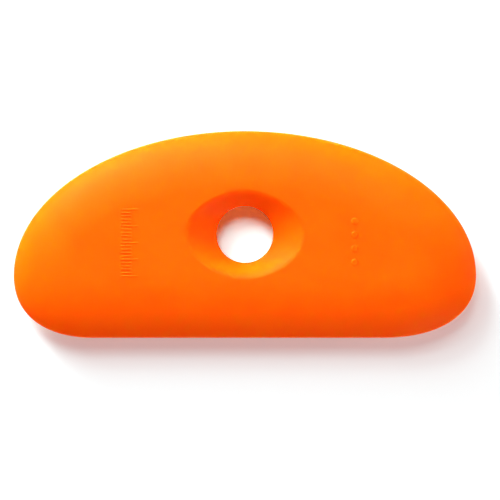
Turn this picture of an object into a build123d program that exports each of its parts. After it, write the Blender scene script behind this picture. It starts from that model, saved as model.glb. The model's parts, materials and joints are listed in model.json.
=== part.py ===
"""Half-moon pottery rib: one soft silicone moulding with a dished finger hole.

Millimetres. The rib lies flat with its long axis along X and its straight edge towards -Y.
The origin is on the resting plane, under the middle of the finger hole.
"""
from build123d import *
from math import cos, pi, radians, sin, tan
import os

os.makedirs("parts", exist_ok=True)

# Outline of the rib, seen from above
rib_length = 139.7
rib_width = 62.5
tip_rise = 18.8
left_corner_reach = 23.9
right_corner_reach = 28.0

# Fullness of the two lower corners: how far each curve's handles run along its sides
corner_side_share = 0.64
corner_base_share = 0.60

# Section: a flat middle that thins, more and more steeply, to a rounded working edge
rib_thickness = 12.0
edge_radius = 1.4
edge_angle = 42.0
taper_width = 18.3
middle_corner_rise = 4.0

# Finger hole, and the oval dish that leads into it from each face
hole_diameter = 17.0
throat_length = 2.0
dish_length = 35.0
dish_width = 24.2
lip_radius = 4.2

# Raised moulded marks on the upper face: a short scale on the left, grade pips on the right
mark_height = 0.2
mark_root = 0.5
scale_distance = 37.0
scale_start = 12.5
scale_pitch = 1.0
scale_count = 21
ticks_per_long_tick = 5
tick_breadth = 0.5
short_tick_length = 2.8
long_tick_length = 4.8
pip_distance = 33.0
pip_start = 8.4
pip_pitch = 4.1
pip_count = 4
pip_diameter = 2.2

# How far a cutter runs past the face that it opens
overrun = 1.0

# Sizes that follow from those above
middle_level = rib_thickness / 2
edge_slope = radians(edge_angle)
taper_run = taper_width - edge_radius * (1 - sin(edge_slope))
taper_drop = middle_level - edge_radius * cos(edge_slope)
dish_depth = middle_level - throat_length / 2
cutter_share = 1 + overrun / dish_depth
lip_level = rib_thickness - dish_depth / 4
mark_level = rib_thickness - mark_root

# The taper falls as the square of the run, with a sixth power that steepens it at the edge
square, sixth = 2, 6
late_share = (tan(edge_slope) * taper_run / taper_drop - square) / (sixth - square)

nose_steps = 4
taper_steps = 7


def half_moon(inset):
    """Give the rib's outline as a flat face, brought in all round by the inset."""
    tip_x = rib_length / 2 - inset
    crown_y = rib_width / 2 - inset
    base_y = inset - rib_width / 2
    rise = tip_rise + (middle_corner_rise - tip_rise) * inset / taper_width
    tip_y = base_y + rise
    left_x = left_corner_reach - rib_length / 2
    right_x = rib_length / 2 - right_corner_reach
    left_handle = (tip_x + left_x) * corner_base_share
    right_handle = (tip_x - right_x) * corner_base_share
    side_handle = rise * corner_side_share
    with BuildSketch() as outline:
        with BuildLine():
            Line((left_x, base_y), (right_x, base_y))
            Bezier(
                (right_x, base_y),
                (right_x + right_handle, base_y),
                (tip_x, tip_y - side_handle),
                (tip_x, tip_y),
            )
            EllipticalCenterArc((0, tip_y), tip_x, crown_y - tip_y, start_angle=0, arc_size=90)
            EllipticalCenterArc((0, tip_y), tip_x, crown_y - tip_y, start_angle=90, arc_size=90)
            Bezier(
                (-tip_x, tip_y),
                (-tip_x, tip_y - side_handle),
                (left_x - left_handle, base_y),
                (left_x, base_y),
            )
        make_face()
    return outline.sketch


def nose_point(share):
    """Give the inset and the height above the middle level, from the very edge up the nose."""
    turn = (pi / 2 - edge_slope) * share
    return edge_radius * (1 - cos(turn)), edge_radius * sin(turn)


def taper_point(share):
    """Give the inset and the height above the middle level, from the nose to the flat middle."""
    run = 1 - share
    drop = taper_drop * ((1 - late_share) * run**square + late_share * run**sixth)
    return taper_width - taper_run * run, middle_level - drop


# Silicone body: the upper half first, from the edge's nose to the flat middle
with BuildPart() as rib_body:
    for step in range(nose_steps + 1):
        inset, height = nose_point(step / nose_steps)
        with BuildSketch(Plane.XY.offset(middle_level + height)):
            add(half_moon(inset))
    loft()
    for step in range(taper_steps + 1):
        inset, height = taper_point(step / taper_steps)
        with BuildSketch(Plane.XY.offset(middle_level + height)):
            add(half_moon(inset))
    loft()

    # Round throat, and the oval dish whose straight walls run up from it to a rounded lip
    with BuildSketch(Plane.XY.offset(middle_level)):
        Circle(hole_diameter / 2)
    extrude(amount=middle_level, mode=Mode.SUBTRACT)
    with BuildSketch(Plane.XY.offset(middle_level + throat_length / 2)):
        Circle(hole_diameter / 2)
    with BuildSketch(Plane.XY.offset(rib_thickness + overrun)):
        Ellipse(
            (hole_diameter + (dish_length - hole_diameter) * cutter_share) / 2,
            (hole_diameter + (dish_width - hole_diameter) * cutter_share) / 2,
        )
    loft(ruled=True, mode=Mode.SUBTRACT)
    lip = edges(Select.LAST).filter_by_position(Axis.Z, lip_level, rib_thickness)
    fillet(lip, lip_radius)

    # Lower half, the same as the upper one
    mirror(about=Plane.XY.offset(middle_level))

    # Scale, with a long tick at every fifth place
    for tick in range(scale_count):
        tick_y = tick * scale_pitch - scale_start
        tick_length = short_tick_length if tick % ticks_per_long_tick else long_tick_length
        with BuildSketch(Plane.XY.offset(mark_level)):
            with Locations((-scale_distance, tick_y)):
                Rectangle(tick_length, tick_breadth, align=(Align.MIN, Align.CENTER))
    extrude(amount=mark_root + mark_height)

    # Grade pips, one above the other
    with BuildSketch(Plane.XY.offset(mark_level)):
        for pip in range(pip_count):
            with Locations((pip_distance, pip * pip_pitch - pip_start)):
                Circle(pip_diameter / 2)
    extrude(amount=mark_root + mark_height)

rib_body.part.label = "rib_body"
export_step(rib_body.part, "parts/rib_body.step")
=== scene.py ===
"""Half-moon pottery rib in soft orange silicone, lying on a white table.

Metres. The rib lies flat with its long axis along X and its straight edge towards -Y.
"""
import json
from math import atan, cos, hypot, pi, radians, sin, sqrt, tan

import bmesh
import bpy
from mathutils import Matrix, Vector


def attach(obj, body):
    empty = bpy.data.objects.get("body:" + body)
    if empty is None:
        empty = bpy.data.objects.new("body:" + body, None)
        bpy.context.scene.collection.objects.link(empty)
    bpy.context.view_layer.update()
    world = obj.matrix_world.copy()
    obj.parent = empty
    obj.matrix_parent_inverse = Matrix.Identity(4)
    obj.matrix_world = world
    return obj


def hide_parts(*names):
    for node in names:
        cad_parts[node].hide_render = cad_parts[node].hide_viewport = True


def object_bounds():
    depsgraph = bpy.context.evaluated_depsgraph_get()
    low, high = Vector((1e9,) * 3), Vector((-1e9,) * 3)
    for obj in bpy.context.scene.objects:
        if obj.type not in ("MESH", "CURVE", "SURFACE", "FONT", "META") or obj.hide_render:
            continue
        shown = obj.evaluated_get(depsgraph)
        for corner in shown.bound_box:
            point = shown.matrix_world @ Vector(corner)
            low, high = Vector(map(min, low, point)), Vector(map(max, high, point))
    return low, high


MM = 0.001
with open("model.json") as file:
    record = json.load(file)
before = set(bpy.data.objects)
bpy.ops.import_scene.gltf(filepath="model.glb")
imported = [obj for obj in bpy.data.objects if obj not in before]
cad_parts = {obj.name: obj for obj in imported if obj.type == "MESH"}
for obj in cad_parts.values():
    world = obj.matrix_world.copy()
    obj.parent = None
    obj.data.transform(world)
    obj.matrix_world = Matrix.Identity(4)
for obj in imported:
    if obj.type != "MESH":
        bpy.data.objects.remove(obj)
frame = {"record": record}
cad_low, cad_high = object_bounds()

# Outline of the rib, seen from above
HALF_LENGTH = (cad_high.x - cad_low.x) / 2
HALF_WIDTH = (cad_high.y - cad_low.y) / 2
TIP_RISE = 18.8 * MM
LEFT_CORNER_REACH = 23.9 * MM
RIGHT_CORNER_REACH = 28.0 * MM
CORNER_SIDE_SHARE = 0.64
CORNER_BASE_SHARE = 0.60

# Section: a flat middle that thins, more and more steeply, to a rounded working edge
MARK_HEIGHT = 0.2 * MM
HALF_THICKNESS = (cad_high.z - cad_low.z - MARK_HEIGHT) / 2
EDGE_RADIUS = 1.4 * MM
EDGE_SLOPE = radians(42.0)
TAPER_WIDTH = 18.3 * MM
MIDDLE_CORNER_RISE = 4.0 * MM

# Finger hole and its oval dishes
finger_hole = next(m for m in frame["record"]["mounts"] if m["name"] == "finger_hole")
HOLE_RADIUS = finger_hole["dims"]["r_mm"] * MM
THROAT_HALF = finger_hole["dims"]["length_mm"] * MM / 2
DISH_HALF_LENGTH = 17.5 * MM
DISH_HALF_WIDTH = 12.1 * MM
LIP_RADIUS = 3.4 * MM
THROAT_ROUNDING = 0.6 * MM

# Faint line round the edge, where the halves of the mould met
PARTING_LINE = 0.05 * MM

# Raised marks on the upper face
SCALE_DISTANCE = 37.0 * MM
SCALE_START = 12.5 * MM
SCALE_PITCH = 1.0 * MM
SCALE_COUNT = 21
TICKS_PER_LONG_TICK = 5
TICK_BREADTH = 0.5 * MM
SHORT_TICK_LENGTH = 2.8 * MM
LONG_TICK_LENGTH = 4.8 * MM
PIP_DISTANCE = 33.0 * MM
PIP_START = 8.4 * MM
PIP_PITCH = 4.1 * MM
PIP_COUNT = 4
PIP_RADIUS = 1.1 * MM
MARK_FLANK = 0.22 * MM
MARK_MARGIN = 0.6 * MM

# How finely the mould surface is laid out
SPOKES = 300
STEPS_PER_SPOKE = 8
REACH_STEPS = 60
HALVINGS = 24
THROAT_RINGS = 4
WALL_RINGS = 12
LIP_RINGS = 16
FACE_RINGS = 56
NOSE_RINGS = 8
MARK_CUTS = 9
SEAM_GAP = 0.001 * MM

# Silicone: two shades of pigment, the gloss, and how far light of each colour gets through
PIGMENT_DEEP = (1.0, 0.138, 0.001, 1)
PIGMENT_PALE = (1.0, 0.152, 0.001, 1)
PIGMENT_BLOTCH = 11 * MM
ROUGHNESS_RUBBED = 0.40
ROUGHNESS_FRESH = 0.52
RUBBED_BLOTCH = 5 * MM
SPECULAR_LEVEL = 0.07
SILICONE_IOR = 1.41
LIGHT_REACH = 5 * MM
LIGHT_REACH_BY_COLOR = (1.0, 0.2, 0.05)

# Fine grain that the blasted mould leaves, over long soft waves
GRAIN_SIZE = 0.5 * MM
GRAIN_DEPTH = 0.02 * MM
GRAIN_STRENGTH = 0.3
WAVE_SIZE = 7 * MM
WAVE_DEPTH = 0.05 * MM
WAVE_STRENGTH = 0.4

# White table, as it lights the rib and as the camera sees it, outside the hole and in it. What the camera
# sees carries painted light: the floor in the hole is painted brighter, and the shadow outside is lifted by
# a faint painted glow
TABLE_HALF = 1.5
TABLE_WHITE = (0.85, 0.85, 0.85, 1)
TABLE_SEEN = (0.56, 0.81, 0.82, 1)
# Painted light: the camera's gain on the floor in the hole, brighter than outside
TABLE_PAINTED_LIGHT_IN_HOLE = (1.1, 2.2, 2.3, 1)
# Painted glow, seen only by the camera, that lifts the rib's shadow outside the hole, a little red
PAINTED_SHADOW_LIFT = 0.27
PAINTED_SHADOW_LIFT_COLOR = (1.2, 1, 1, 1)

# Studio: a little warm light from all round, and walls that give way to a darker ceiling
AMBIENT = (0.33, 0.04, 0.03, 1)
WALLS = (1, 1, 1, 1)
WALLS_END = radians(30)
CEILING_START = radians(60)
CEILING = 0.1
LAMP_DISTANCE = 1.0

# The photograph's frame: how wide it is at the rib's edge, and where its middle lies
PICTURE_PIXELS = 500
RIB_PIXELS = 462.5
RIB_MIDDLE_PIXEL = (244.9, 234.45)
PICTURE_WIDTH = 2 * HALF_LENGTH * PICTURE_PIXELS / RIB_PIXELS
PIXEL = PICTURE_WIDTH / PICTURE_PIXELS
SENSOR_WIDTH = 36.0
CAMERA_DISTANCE = 1.0
CAMERA_PLACE = (
    (PICTURE_PIXELS / 2 - RIB_MIDDLE_PIXEL[0]) * PIXEL,
    (RIB_MIDDLE_PIXEL[1] - PICTURE_PIXELS / 2) * PIXEL,
    HALF_THICKNESS + CAMERA_DISTANCE,
)

# Sizes that follow. The taper falls as the square of the run, with a sixth power at the edge
DISH_DEPTH = HALF_THICKNESS - THROAT_HALF
TAPER_RUN = TAPER_WIDTH - EDGE_RADIUS * (1 - sin(EDGE_SLOPE))
TAPER_DROP = HALF_THICKNESS - EDGE_RADIUS * cos(EDGE_SLOPE)
SQUARE = 2
SIXTH = 6
LATE_SHARE = (tan(EDGE_SLOPE) * TAPER_RUN / TAPER_DROP - SQUARE) / (SIXTH - SQUARE)


def outline_reach(direction, inset):
    """Distance from the hole's axis to the outline along a direction, at an inset from the edge."""
    dx, dy = direction
    tip_x = HALF_LENGTH - inset
    base_y = inset - HALF_WIDTH
    rise = TIP_RISE + (MIDDLE_CORNER_RISE - TIP_RISE) * inset / TAPER_WIDTH
    tip_y = base_y + rise
    crown_rise = HALF_WIDTH - inset - tip_y

    # Crown, half an ellipse about the point between the tips
    a = (dx / tip_x) ** 2 + (dy / crown_rise) ** 2
    b = dy * tip_y / crown_rise**2
    c = (tip_y / crown_rise) ** 2 - 1
    reach = (b + sqrt(b * b - a * c)) / a
    if reach * dy >= tip_y:
        return reach

    # Straight edge
    left_x = LEFT_CORNER_REACH - HALF_LENGTH
    right_x = HALF_LENGTH - RIGHT_CORNER_REACH
    reach = base_y / dy
    if left_x <= reach * dx <= right_x:
        return reach

    # Corner, one curve from the tip down to the straight edge
    side = 1 if dx > 0 else -1
    end_x = right_x if dx > 0 else left_x
    handle = (tip_x - side * end_x) * CORNER_BASE_SHARE
    corner = [
        Vector((side * tip_x, tip_y)),
        Vector((side * tip_x, tip_y - rise * CORNER_SIDE_SHARE)),
        Vector((end_x + side * handle, base_y)),
        Vector((end_x, base_y)),
    ]
    low, high = 0.0, 1.0
    for _ in range(HALVINGS):
        u = (low + high) / 2
        point = bezier_point(corner, u)
        if side * (point.y * dx - point.x * dy) > 0:
            low = u
        else:
            high = u
    return point.length


def bezier_point(handles, u):
    """Point at share u of a cubic curve."""
    v = 1 - u
    return (
        handles[0] * v**3
        + handles[1] * (3 * v * v * u)
        + handles[2] * (3 * v * u * u)
        + handles[3] * u**3
    )


def dish_reach(direction, share):
    """Distance to the dish wall along a direction, at a share of the way from throat to face."""
    long_reach = HOLE_RADIUS + (DISH_HALF_LENGTH - HOLE_RADIUS) * share
    short_reach = HOLE_RADIUS + (DISH_HALF_WIDTH - HOLE_RADIUS) * share
    return 1 / hypot(direction[0] / long_reach, direction[1] / short_reach)


def share_at(value, table):
    """How far along a steadily changing table of evenly spaced values a value lies."""
    rising = table[-1] > table[0]
    low, high = 0, len(table) - 1
    while high - low > 1:
        middle = (low + high) // 2
        if (table[middle] <= value) == rising:
            low = middle
        else:
            high = middle
    span = table[high] - table[low]
    return (low + (value - table[low]) / span) / (len(table) - 1)


def face_height(inset):
    """Height of the face above the middle level, at an inset from the edge."""
    run = max(TAPER_WIDTH - inset, 0) / TAPER_RUN
    return HALF_THICKNESS - TAPER_DROP * ((1 - LATE_SHARE) * run**SQUARE + LATE_SHARE * run**SIXTH)


def rounded_lower(a, b, width):
    """The lower of two heights, with the ridge between them rounded over a height difference."""
    h = max(width - abs(a - b), 0) / width
    return min(a, b) - h * h * width / 4


def evenly(start, end, count):
    """Count values from start towards end, without the end."""
    return [start + (end - start) * k / count for k in range(count)]


def section(angle):
    """Reach and height, from the throat to the edge's tip, along one direction."""
    direction = (cos(angle), sin(angle))
    steps = [k / REACH_STEPS for k in range(REACH_STEPS + 1)]
    insets = [outline_reach(direction, TAPER_WIDTH * step) for step in steps]
    dish = [dish_reach(direction, 2 * step) for step in steps]
    lip = dish_reach(direction, 1)
    wall_slope = atan(DISH_DEPTH / (lip - HOLE_RADIUS))
    lip_half = LIP_RADIUS * tan(wall_slope / 2)
    rounding = lip_half * tan(wall_slope)

    def height(reach):
        face = HALF_THICKNESS if reach <= insets[-1] else face_height(TAPER_WIDTH * share_at(reach, insets))
        if reach >= dish[-1]:
            return face
        wall = THROAT_HALF + DISH_DEPTH * 2 * share_at(reach, dish)
        return rounded_lower(face, wall, rounding)

    # Throat, and the rounding of its rim
    throat_end = THROAT_HALF - THROAT_ROUNDING
    wall_start = HOLE_RADIUS + THROAT_ROUNDING * cos(wall_slope)
    wall_start_height = THROAT_HALF + THROAT_ROUNDING * sin(wall_slope)
    points = [(HOLE_RADIUS, 0), (HOLE_RADIUS, throat_end / 2)]
    for u in evenly(0, 1, THROAT_RINGS):
        points.append((
            HOLE_RADIUS + (wall_start - HOLE_RADIUS) * u * u,
            throat_end * (1 - u) ** 2 + 2 * THROAT_HALF * u * (1 - u) + wall_start_height * u * u,
        ))

    # Dish wall, lip and face
    nose_start = outline_reach(direction, EDGE_RADIUS * (1 - sin(EDGE_SLOPE)))
    reaches = evenly(wall_start, lip - lip_half, WALL_RINGS)
    reaches += evenly(lip - lip_half, lip + lip_half, LIP_RINGS)
    reaches += evenly(lip + lip_half, nose_start, FACE_RINGS)
    points += [(reach, height(reach)) for reach in reaches]

    # Nose of the edge, out to the parting line
    for share in evenly(0, 1, NOSE_RINGS):
        turn = (pi / 2 - EDGE_SLOPE) * (1 - share)
        inset = EDGE_RADIUS * (1 - cos(turn)) + PARTING_LINE * share
        points.append((outline_reach(direction, inset), EDGE_RADIUS * sin(turn)))
    points.append((outline_reach(direction, 0), 0))
    return points


def spoke_angles():
    """Directions whose ends are evenly spaced along the outline."""
    fine = SPOKES * STEPS_PER_SPOKE
    angles = [2 * pi * k / fine for k in range(fine + 1)]
    ends = [Vector((cos(a), sin(a))) * outline_reach((cos(a), sin(a)), 0) for a in angles]
    run = [0.0]
    for k in range(fine):
        run.append(run[-1] + (ends[k + 1] - ends[k]).length)
    return [2 * pi * share_at(run[-1] * k / SPOKES, run) for k in range(SPOKES)]


def mark_relief(x, y):
    """How far the moulded marks stand above the face at a point."""
    tick = min(max(round((y + SCALE_START) / SCALE_PITCH), 0), SCALE_COUNT - 1)
    long_tick = tick % TICKS_PER_LONG_TICK == 0
    length = LONG_TICK_LENGTH if long_tick else SHORT_TICK_LENGTH
    along = min(max(x + SCALE_DISTANCE, 0), length)
    tick_gap = hypot(x + SCALE_DISTANCE - along, y + SCALE_START - tick * SCALE_PITCH) - TICK_BREADTH / 2
    pip = min(max(round((y + PIP_START) / PIP_PITCH), 0), PIP_COUNT - 1)
    pip_gap = hypot(x - PIP_DISTANCE, y + PIP_START - pip * PIP_PITCH) - PIP_RADIUS
    inside = min(max(-min(tick_gap, pip_gap) / MARK_FLANK, 0), 1)
    return MARK_HEIGHT * inside * inside * (3 - 2 * inside)


def marked(point):
    """Whether a point of the upper face lies on the scale or the pips, or close round them."""
    if point.z < HALF_THICKNESS:
        return False
    on_scale = (
        -MARK_MARGIN < point.x + SCALE_DISTANCE < LONG_TICK_LENGTH + MARK_MARGIN
        and -MARK_MARGIN < point.y + SCALE_START < (SCALE_COUNT - 1) * SCALE_PITCH + MARK_MARGIN
    )
    pips_half = (PIP_COUNT - 1) * PIP_PITCH / 2
    on_pips = (
        abs(point.x - PIP_DISTANCE) < PIP_RADIUS + MARK_MARGIN
        and abs(point.y + PIP_START - pips_half) < pips_half + PIP_RADIUS + MARK_MARGIN
    )
    return on_scale or on_pips


def raise_marks(bm):
    """Divide the upper face under the marks, and lift them."""
    faces = [face for face in bm.faces if marked(face.calc_center_median())]
    edges = {edge for face in faces for edge in face.edges}
    bmesh.ops.subdivide_edges(bm, edges=list(edges), cuts=MARK_CUTS, use_grid_fill=True)
    for vert in bm.verts:
        if marked(vert.co):
            vert.co.z += mark_relief(vert.co.x, vert.co.y)


def rib_mesh():
    """The whole moulding as one closed skin: a grid wrapped round the section and round the hole."""
    angles = spoke_angles()
    sections = [section(angle) for angle in angles]
    half = len(sections[0]) - 1
    rings = 2 * half
    bm = bmesh.new()
    bmesh.ops.create_grid(bm, x_segments=SPOKES, y_segments=rings, size=0.5)
    for vert in bm.verts:
        spoke = round((vert.co.x + 0.5) * SPOKES) % SPOKES
        ring = round((vert.co.y + 0.5) * rings) % rings
        reach, height = sections[spoke][min(ring, rings - ring)]
        if ring > half:
            height = -height
        angle = angles[spoke]
        vert.co = Vector((reach * cos(angle), reach * sin(angle), HALF_THICKNESS + height))
    seams = [vert for vert in bm.verts if vert.is_boundary]
    bmesh.ops.remove_doubles(bm, verts=seams, dist=SEAM_GAP)
    raise_marks(bm)
    bmesh.ops.recalc_face_normals(bm, faces=bm.faces)
    for face in bm.faces:
        face.smooth = True
    mesh = bpy.data.meshes.new("rib_skin")
    bm.to_mesh(mesh)
    bm.free()
    return mesh


def fill(tree, socket, given):
    """Set a socket to a plain value, or link it to the socket that gives its value."""
    if isinstance(given, bpy.types.NodeSocket):
        tree.links.new(given, socket)
    else:
        socket.default_value = given


def maths(tree, operation, first, second):
    """Result of a maths operation on two values."""
    node = tree.nodes.new("ShaderNodeMath")
    node.operation = operation
    fill(tree, node.inputs[0], first)
    fill(tree, node.inputs[1], second)
    return node.outputs[0]


def mapped(tree, value, start, end, first=0.0, last=1.0):
    """Value that goes from first to last while the given one goes from start to end."""
    node = tree.nodes.new("ShaderNodeMapRange")
    node.inputs["From Min"].default_value = start
    node.inputs["From Max"].default_value = end
    node.inputs["To Min"].default_value = first
    node.inputs["To Max"].default_value = last
    tree.links.new(value, node.inputs["Value"])
    return node.outputs[0]


def color_mix(tree, share, first, second):
    """Colour that goes from the first to the second as the share grows."""
    share_in, first_in, second_in, color_out = 0, 6, 7, 2
    node = tree.nodes.new("ShaderNodeMix")
    node.data_type = "RGBA"
    fill(tree, node.inputs[share_in], share)
    fill(tree, node.inputs[first_in], first)
    fill(tree, node.inputs[second_in], second)
    return node.outputs[color_out]


def blotches(tree, place, size, detail):
    """Value from 0 to 1 that wanders over the surface, in blotches of about one size."""
    noise = tree.nodes.new("ShaderNodeTexNoise")
    noise.inputs["Scale"].default_value = 1 / size
    noise.inputs["Detail"].default_value = detail
    tree.links.new(place, noise.inputs["Vector"])
    return mapped(tree, noise.outputs["Fac"], 0.3, 0.7)


def bump(tree, height, depth, strength):
    """Node that tilts the surface as a height pattern says."""
    node = tree.nodes.new("ShaderNodeBump")
    node.inputs["Strength"].default_value = strength
    node.inputs["Distance"].default_value = depth
    tree.links.new(height, node.inputs["Height"])
    return node


def silicone():
    """Satin orange silicone that lets light through at its thin edge."""
    material = bpy.data.materials.new("orange_silicone")
    material.use_nodes = True
    tree = material.node_tree
    shader = tree.nodes["Principled BSDF"]
    shader.inputs["Specular IOR Level"].default_value = SPECULAR_LEVEL
    shader.inputs["IOR"].default_value = SILICONE_IOR
    shader.inputs["Subsurface Weight"].default_value = 1.0
    shader.inputs["Subsurface Radius"].default_value = LIGHT_REACH_BY_COLOR
    shader.inputs["Subsurface Scale"].default_value = LIGHT_REACH
    place = tree.nodes.new("ShaderNodeTexCoord").outputs["Object"]

    # Pigment that isn't stirred in quite evenly
    stirred = blotches(tree, place, PIGMENT_BLOTCH, detail=4)
    tree.links.new(color_mix(tree, stirred, PIGMENT_DEEP, PIGMENT_PALE), shader.inputs["Base Color"])

    # Gloss that handling has rubbed a little unevenly
    rubbed = blotches(tree, place, RUBBED_BLOTCH, detail=3)
    gloss = mapped(tree, rubbed, 0.0, 1.0, ROUGHNESS_RUBBED, ROUGHNESS_FRESH)
    tree.links.new(gloss, shader.inputs["Roughness"])

    # Grain of the mould, and the waves under it
    grain = bump(tree, blotches(tree, place, GRAIN_SIZE, detail=2), GRAIN_DEPTH, GRAIN_STRENGTH)
    waves = bump(tree, blotches(tree, place, WAVE_SIZE, detail=1), WAVE_DEPTH, WAVE_STRENGTH)
    tree.links.new(grain.outputs[0], waves.inputs["Normal"])
    tree.links.new(waves.outputs[0], shader.inputs["Normal"])
    return material


def rib():
    """The silicone rib."""
    piece = bpy.data.objects.new("silicone_rib", rib_mesh())
    bpy.context.scene.collection.objects.link(piece)
    piece.data.materials.append(silicone())
    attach(piece, "root")
    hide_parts("rib_body")


def mirrored(tree, path):
    """1 for what a gloss or a clear thing shows, and 0 for other rays."""
    return maths(tree, "MAXIMUM", path.outputs["Is Glossy Ray"], path.outputs["Is Transmission Ray"])


def table_paint():
    """Matt white whose shadow the camera sees paler, lifted by a painted glow, and brighter in the hole by
    painted light; it is clear from below.
    """
    material = bpy.data.materials.new("white_table")
    material.use_nodes = True
    tree = material.node_tree
    tree.nodes.clear()
    path = tree.nodes.new("ShaderNodeLightPath")
    seen = maths(tree, "MAXIMUM", path.outputs["Is Camera Ray"], mirrored(tree, path))

    # How far out from the hole's axis, 0 in the hole and 1 beyond the rib's edge; it places the painted
    # light in the hole and the painted glow outside
    away = tree.nodes.new("ShaderNodeVectorMath")
    away.operation = "LENGTH"
    tree.links.new(tree.nodes.new("ShaderNodeTexCoord").outputs["Object"], away.inputs[0])
    outer = mapped(tree, away.outputs["Value"], HOLE_RADIUS, HALF_WIDTH)

    # The camera sees it brighter than it lights the rib, and brighter still in the hole, where that is
    # painted light over the floor and its shadow
    shown = color_mix(tree, outer, TABLE_PAINTED_LIGHT_IN_HOLE, TABLE_SEEN)
    matt = tree.nodes.new("ShaderNodeBsdfDiffuse")
    tree.links.new(color_mix(tree, seen, TABLE_WHITE, shown), matt.inputs["Color"])
    # Painted light: a faint reddish glow, for the camera only, that pales the shadow beyond the hole and is
    # nothing in it
    painted_lift = tree.nodes.new("ShaderNodeEmission")
    painted_lift.inputs["Color"].default_value = PAINTED_SHADOW_LIFT_COLOR
    painted_lift_strength = maths(tree, "MULTIPLY", maths(tree, "MULTIPLY", outer, PAINTED_SHADOW_LIFT), seen)
    tree.links.new(painted_lift_strength, painted_lift.inputs["Strength"])
    both = tree.nodes.new("ShaderNodeAddShader")
    tree.links.new(matt.outputs[0], both.inputs[0])
    tree.links.new(painted_lift.outputs[0], both.inputs[1])

    # Clear from below, and for the lamp that lights the rib's underside
    side = tree.nodes.new("ShaderNodeNewGeometry")
    lets_through = maths(tree, "MAXIMUM", side.outputs["Backfacing"], path.outputs["Is Shadow Ray"])
    clear = tree.nodes.new("ShaderNodeBsdfTransparent")
    mix = tree.nodes.new("ShaderNodeMixShader")
    tree.links.new(lets_through, mix.inputs[0])
    tree.links.new(both.outputs[0], mix.inputs[1])
    tree.links.new(clear.outputs[0], mix.inputs[2])
    output = tree.nodes.new("ShaderNodeOutputMaterial")
    tree.links.new(mix.outputs[0], output.inputs["Surface"])
    return material


def table():
    """White table that keeps the rib's shadow, and isn't seen from below."""
    bm = bmesh.new()
    bmesh.ops.create_grid(bm, x_segments=1, y_segments=1, size=TABLE_HALF)
    mesh = bpy.data.meshes.new("table_top")
    bm.to_mesh(mesh)
    bm.free()
    mesh.materials.append(table_paint())
    top = bpy.data.objects.new("table_top", mesh)
    bpy.context.scene.collection.objects.link(top)


def surroundings():
    """White walls where they are seen, with a darker ceiling in the gloss, and a little warm light."""
    world = bpy.data.worlds.new("studio")
    bpy.context.scene.world = world
    world.use_nodes = True
    tree = world.node_tree
    path = tree.nodes.new("ShaderNodeLightPath")
    parts = tree.nodes.new("ShaderNodeSeparateXYZ")
    tree.links.new(tree.nodes.new("ShaderNodeTexCoord").outputs["Generated"], parts.inputs[0])
    walls = mapped(tree, parts.outputs["Z"], sin(WALLS_END), sin(CEILING_START), 1.0, CEILING)
    gloss = maths(tree, "MULTIPLY", mirrored(tree, path), walls)
    seen = maths(tree, "MAXIMUM", path.outputs["Is Camera Ray"], gloss)
    tree.links.new(color_mix(tree, seen, AMBIENT, WALLS), tree.nodes["Background"].inputs["Color"])


def softbox(name, azimuth, elevation, size, power, shines=True):
    """Square soft lamp that looks at the rib. Azimuth is counted from +X, towards +Y.

    The lowest lamp doesn't show in the gloss, where it would glare when the rib is seen at a slant.
    """
    lamp = bpy.data.lights.new(name, "AREA")
    lamp.shape = "SQUARE"
    lamp.size = size
    lamp.energy = power
    holder = bpy.data.objects.new(name, lamp)
    bpy.context.scene.collection.objects.link(holder)
    holder.visible_glossy = shines
    a, e = radians(azimuth), radians(elevation)
    place = Vector((cos(a) * cos(e), sin(a) * cos(e), sin(e))) * LAMP_DISTANCE
    holder.location = place
    holder.rotation_euler = place.to_track_quat("Z", "Y").to_euler()


def camera():
    """Camera straight above the rib, as far off as a long lens stands."""
    view = bpy.data.cameras.new("view")
    view.sensor_width = SENSOR_WIDTH
    view.lens = SENSOR_WIDTH * CAMERA_DISTANCE / PICTURE_WIDTH
    holder = bpy.data.objects.new("view", view)
    bpy.context.scene.collection.objects.link(holder)
    holder.location = CAMERA_PLACE
    bpy.context.scene.camera = holder


rib()
table()
surroundings()
softbox("window", azimuth=119, elevation=10, size=0.3, power=20.4, shines=False)
softbox("key", azimuth=120, elevation=25, size=0.35, power=7.8)
softbox("side", azimuth=124, elevation=38, size=0.35, power=4.2)
softbox("upper", azimuth=94, elevation=55, size=0.4, power=4.0)
softbox("under", azimuth=290, elevation=-70, size=0.4, power=1.4)
softbox("front_fill", azimuth=300, elevation=20, size=0.3, power=2.6)
softbox("right_fill", azimuth=5, elevation=14, size=0.3, power=1.6)
camera()
bpy.context.scene.view_settings.view_transform = "Standard"
